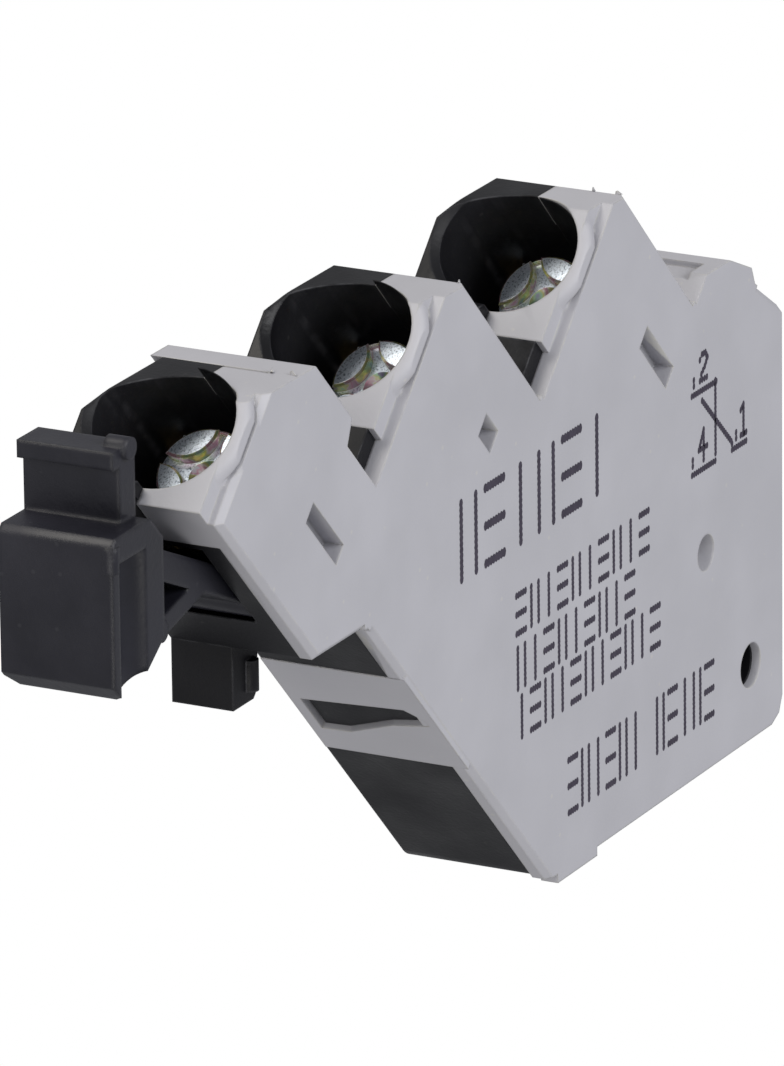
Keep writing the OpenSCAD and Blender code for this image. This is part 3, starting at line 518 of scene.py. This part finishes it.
def makeScrew(index, mouth):
    turn = math.radians(screwSet["turns"][index])
    headRadius, headHeight = screwSet["headRadius"], screwSet["headHeight"]
    rim, shank = screwSet["rimWidth"], screwSet["shankRadius"]
    bm = bmesh.new()
    floorZ = headHeight - 0.75 * mm
    # head below the recess, shank and tip
    spinProfile(bm, [(1e-7, floorZ - 0.65 * mm), (0.55 * mm, floorZ - 0.6 * mm), (1.15 * mm, floorZ - 0.2 * mm),
                     (headRadius - rim, floorZ), (headRadius - 0.01 * mm, floorZ), (headRadius, floorZ - 0.1 * mm),
                     (headRadius, 0.12 * mm), (headRadius - 0.12 * mm, 0), (shank, 0),
                     (shank, 0.3 * mm - screwSet["shankLength"]), (shank - 0.3 * mm, -screwSet["shankLength"]),
                     (1e-7, -screwSet["shankLength"])], turn + math.radians(45), math.tau, 64)
    # rim in two arcs, open where the slot runs out
    gap = math.radians(screwSet["slotHalfAngle"])
    for side in (0, math.pi):
        profile = [(headRadius - rim, floorZ - 0.02 * mm), (headRadius - rim, headHeight - 0.42 * mm),
                   (headRadius - rim + 0.08 * mm, headHeight - 0.34 * mm), (headRadius - 0.1 * mm, headHeight - 0.42 * mm),
                   (headRadius - 0.02 * mm, headHeight - 0.55 * mm), (headRadius, floorZ - 0.02 * mm)]
        start = turn + math.radians(45) + side + gap
        loop = bmesh.new()
        corners = [loop.verts.new((r * math.cos(start), r * math.sin(start), z)) for r, z in profile]
        edges = [loop.edges.new((corners[i - 1], corners[i])) for i in range(len(corners))]
        bmesh.ops.spin(loop, geom=corners + edges, cent=(0, 0, 0), axis=(0, 0, 1), angle=math.pi - 2 * gap, steps=26)
        bmesh.ops.holes_fill(loop, edges=[edge for edge in loop.edges if edge.is_boundary], sides=0)
        part = bpy.data.meshes.new("rimArc")
        loop.to_mesh(part)
        loop.free()
        bm.from_mesh(part)
        bpy.data.meshes.remove(part)
    # pads
    outline = padOutline(screwSet["padCentre"], screwSet["padRadius"], headRadius - 0.16 * mm)
    for quarter in range(4):
        angle = turn + quarter * math.pi / 2
        pad = bmesh.new()
        ring = [pad.verts.new((x * math.cos(angle) - y * math.sin(angle), x * math.sin(angle) + y * math.cos(angle),
                               floorZ - 0.6 * mm)) for x, y in outline]
        foot = pad.faces.new(ring)
        grown = bmesh.ops.extrude_face_region(pad, geom=[foot])
        lifted = [v for v in grown["geom"] if isinstance(v, bmesh.types.BMVert)]
        bmesh.ops.translate(pad, verts=lifted, vec=(0, 0, headHeight - floorZ + 0.6 * mm))
        topFace = [f for f in grown["geom"] if isinstance(f, bmesh.types.BMFace)][0]
        bmesh.ops.bevel(pad, geom=list(topFace.edges), offset=0.15 * mm, segments=1, profile=0.5, affect="EDGES",
                        material=-1)
        part = bpy.data.meshes.new("pad")
        pad.to_mesh(part)
        pad.free()
        bm.from_mesh(part)
        bpy.data.meshes.remove(part)
    place = Matrix.Translation(mouth) @ Matrix.Rotation(math.radians(-45), 4, "Y") @ \
        Matrix.Translation((0, 0, -7.8 * mm))
    bmesh.ops.transform(bm, matrix=place, verts=bm.verts)
    screw = makeMesh("screw_%d_look" % index, bm, zinc, "screw_%d" % index)
    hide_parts("terminal_screw_%d" % index)
    return screw

for index in (1, 2, 3):
    makeScrew(index, Vector((-57.3 + 22.75 * (index - 1), 0, 42.35 - index)) * mm)
print("screws made")

# the black sleeve of the base shows inside the near half of each well
linerSet = {"radius": 4.37 * mm, "thickness": 0.05 * mm, "top": 0.9 * mm, "bottom": 7.2 * mm}
for index in (1, 2, 3):
    bm = bmesh.new()
    outer, inner = linerSet["radius"], linerSet["radius"] - linerSet["thickness"]
    profile = [(outer, -linerSet["bottom"]), (outer, -linerSet["top"]), (inner, -linerSet["top"]),
               (inner, -linerSet["bottom"])]
    corners = [bm.verts.new((0, -r, z)) for r, z in profile]
    edges = [bm.edges.new((corners[i - 1], corners[i])) for i in range(len(corners))]
    bmesh.ops.rotate(bm, verts=corners, cent=(0, 0, 0), matrix=Matrix.Rotation(math.radians(-88), 3, "Z"))
    bmesh.ops.spin(bm, geom=corners + edges, cent=(0, 0, 0), axis=(0, 0, 1), angle=math.radians(176), steps=40)
    bmesh.ops.holes_fill(bm, edges=[edge for edge in bm.edges if edge.is_boundary], sides=0)
    mouth = Vector((-57.3 + 22.75 * (index - 1), 0, 42.35 - index)) * mm
    bmesh.ops.transform(bm, matrix=Matrix.Translation(mouth) @ Matrix.Rotation(math.radians(-45), 4, "Y"),
                        verts=bm.verts)
    makeMesh("well_sleeve_%d" % index, bm, plastics["baseBlack"], "housing", smooth=False)

# the base's black boss lines the fixing hole behind the cover's skin
holeSet = {"x": 12.3 * mm, "z": 5.1 * mm, "radius": 1.48 * mm, "thickness": 0.05 * mm, "front": -4.4 * mm, "depth": 4 * mm}
bm = bmesh.new()
outer, inner = holeSet["radius"], holeSet["radius"] - holeSet["thickness"]
ring = [(outer, 0), (outer, holeSet["depth"]), (inner, holeSet["depth"]), (inner, 0)]
corners = [bm.verts.new((r, 0, z)) for r, z in ring]
edges = [bm.edges.new((corners[i - 1], corners[i])) for i in range(len(corners))]
bmesh.ops.spin(bm, geom=corners + edges, cent=(0, 0, 0), axis=(0, 0, 1), angle=math.tau, steps=40, use_merge=True)
bmesh.ops.remove_doubles(bm, verts=bm.verts, dist=0.0001 * mm)
bmesh.ops.transform(bm, matrix=Matrix.Translation((holeSet["x"], holeSet["front"], holeSet["z"])) @
                    Matrix.Rotation(math.radians(-90), 4, "X"), verts=bm.verts)
makeMesh("hole_sleeve", bm, plastics["baseBlack"], "housing")

# flash left on the tower edges by the mould
burrSet = [((-49.9, -3.2, 42.95), 0.34, 20), ((-49.8, -4.5, 42.85), 0.42, 70), ((-27.6, -4.4, 42.35), 0.26, 10),
           ((-5.4, -2.6, 41.9), 0.3, 45), ((-5.4, -4.3, 41.85), 0.36, 80)]
for number, (spot, size, turn) in enumerate(burrSet, 1):
    bm = bmesh.new()
    place = Matrix.Translation(Vector(spot) * mm) @ Matrix.Rotation(math.radians(turn), 4, "Z") @ \
        Matrix.Rotation(math.radians(25), 4, "Y") @ Matrix.Diagonal((1, 0.35, 1, 1))
    bmesh.ops.create_cone(bm, cap_ends=True, segments=6, radius1=size * mm, radius2=0.25 * size * mm,
                          depth=0.9 * size * mm, matrix=place)
    makeMesh("flash_%d" % number, bm, plastics["coverGrey"], "housing")
print("sleeves and flash made")

# ink-jet print: rows of plain shapes in dots, and the contact symbol with plain digits
inkSet = {"colour": (0.016, 0.012, 0.024, 1), "faded": (0.05, 0.04, 0.065, 1), "dot": 0.19 * mm,
          "lift": 0.012 * mm, "layer": 0.002 * mm}
shapes = {
    "ring": [[(0.2, 0), (0.8, 0), (1, 0.15), (1, 0.85), (0.8, 1), (0.2, 1), (0, 0.85), (0, 0.15), (0.2, 0)]],
    "pillar": [[(0.5, 0), (0.5, 1)]],
    "pair": [[(0.1, 0), (0.1, 1)], [(0.9, 0), (0.9, 1)]],
    "ladder": [[(0, 0), (1, 0)], [(0, 0.5), (1, 0.5)], [(0, 1), (1, 1)]],
    "ramp": [[(0, 0), (1, 1)]],
    "step": [[(0, 0), (0, 0.5), (1, 0.5), (1, 1)]],
    "stop": [[(0.5, 0), (0.5, 0.08)]],
    "gap": [],
}
rows = [
    {"left": -29.1, "bottom": 23.6, "pitch": 3.57, "width": 2.5, "height": 4.9, "step": 0.37, "weight": 1.5,
     "cells": ["pair", "ladder", "pillar", "pair", "ladder", "pillar"]},
    {"left": -21.4, "bottom": 17.7, "pitch": 1.94, "width": 1.25, "height": 2.5, "step": 0.33, "weight": 1.15,
     "cells": ["ladder", "pair", "pillar", "ladder", "pair", "pillar", "ladder", "pair", "pillar", "ladder"]},
    {"left": -21.4, "bottom": 14.1, "pitch": 1.92, "width": 1.25, "height": 2.6, "step": 0.33, "weight": 1.15,
     "cells": ["pair", "pillar", "ladder", "pair", "pillar", "ladder", "pair", "pillar", "ladder"]},
    {"left": -21.4, "bottom": 10.8, "pitch": 1.9, "width": 1.25, "height": 2.6, "step": 0.33, "weight": 1.15,
     "cells": ["pillar", "ladder", "pair", "pillar", "ladder", "pair", "pillar", "ladder", "pair", "pillar", "ladder"]},
    {"left": -14.3, "bottom": 3.6, "pitch": 1.8, "width": 1.2, "height": 3.5, "step": 0.33, "weight": 1.15,
     "cells": ["ladder", "pair", "pillar", "ladder", "pair", "pillar", "gap", "pair", "ladder", "pillar", "pair", "ladder"]},
]
symbol = {
    "upper bar": [(3.7, 25.9), (7.3, 25.9)], "vertical": [(7.15, 26.0), (7.15, 21.1)],
    "lower bar": [(3.7, 20.6), (7.1, 20.6)], "right bar": [(9.6, 20.6), (9.6, 21.0)],
    "right bar foot": [(9.6, 20.6), (11.7, 20.6)], "diagonal": [(5.2, 25.2), (9.5, 21.2)],
    "two": [(4.9, 28.0), (5.2, 28.3), (5.7, 28.3), (6.0, 27.9), (5.6, 27.4), (5.1, 27.0), (4.9, 26.6), (5.9, 26.6)],
    "two dot": [(4.0, 26.9), (4.0, 26.5)], "four": [(5.4, 23.2), (5.4, 21.2)],
    "four angle": [(5.3, 23.0), (4.7, 22.0), (5.9, 22.0)], "four dot": [(3.8, 21.6), (3.8, 21.2)],
    "one": [(10.9, 22.9), (11.3, 23.2), (11.3, 21.2)], "one foot": [(10.9, 21.2), (11.7, 21.2)],
    "one dot": [(10.2, 21.6), (10.2, 21.2)],
}
def strokeDots(points, step):
    dots = []
    for start, stop in zip(points, points[1:]):
        run = Vector(stop) - Vector(start)
        count = max(1, round(run.length / step))
        dots += [Vector(start) + run * i / count for i in range(count + 1)]
    return dots

def makeInk(name, dots, radius):
    # each dot is a flat disc a hair in front of the cover's printed face
    bm = bmesh.new()
    for count, spot in enumerate(dots):
        lift = inkSet["lift"] + count % 3 * inkSet["layer"]
        place = Matrix.Translation((spot.x * mm, -5 * mm - lift, spot.y * mm)) @ \
            Matrix.Rotation(math.radians(90), 4, "X") @ Matrix.Diagonal((0.86, 1.15, 1, 1))
        bmesh.ops.create_circle(bm, cap_ends=True, segments=8, radius=radius, matrix=place)
    return makeMesh(name, bm, ink, "housing")

ink = bpy.data.materials.new("ink")
ink.use_nodes = True
inkSurface = ink.node_tree.nodes["Principled BSDF"]
inkSurface.inputs["Roughness"].default_value = 0.6
inkPlace = ink.node_tree.nodes.new("ShaderNodeTexCoord")
inkNoise = ink.node_tree.nodes.new("ShaderNodeTexNoise")
inkNoise.inputs["Scale"].default_value = 2500
inkRamp = ink.node_tree.nodes.new("ShaderNodeMix")
inkRamp.data_type = "RGBA"
inkRamp.inputs[6].default_value = inkSet["colour"]
inkRamp.inputs[7].default_value = inkSet["faded"]
ink.node_tree.links.new(inkPlace.outputs["Object"], inkNoise.inputs["Vector"])
ink.node_tree.links.new(inkNoise.outputs["Fac"], inkRamp.inputs["Factor"])
ink.node_tree.links.new(inkRamp.outputs[2], inkSurface.inputs["Base Color"])
for number, row in enumerate(rows, 1):
    dots = []
    for place, cell in enumerate(row["cells"]):
        x0 = row["left"] + place * row["pitch"]
        for stroke in shapes[cell]:
            points = [(x0 + x * row["width"], row["bottom"] + z * row["height"]) for x, z in stroke]
            dots += strokeDots(points, row["step"])
    makeInk("print_row_%d" % number, dots, inkSet["dot"] * row["weight"])
symbolDots = []
for points in symbol.values():
    symbolDots += strokeDots(points, 0.3)
makeInk("print_symbol", symbolDots, inkSet["dot"] * 1.1)
print("print made")

# the springs' fixed ends and strokes are listed; each spring is only given its own copy of its mesh
springSet = {"return_spring": {"fixed": 23.9 * mm, "stroke": 1.02 * mm}, "blade_spring": {"fixed": 23 * mm, "stroke": 0.8 * mm}}
for name, spec in springSet.items():
    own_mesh(nodes[name])
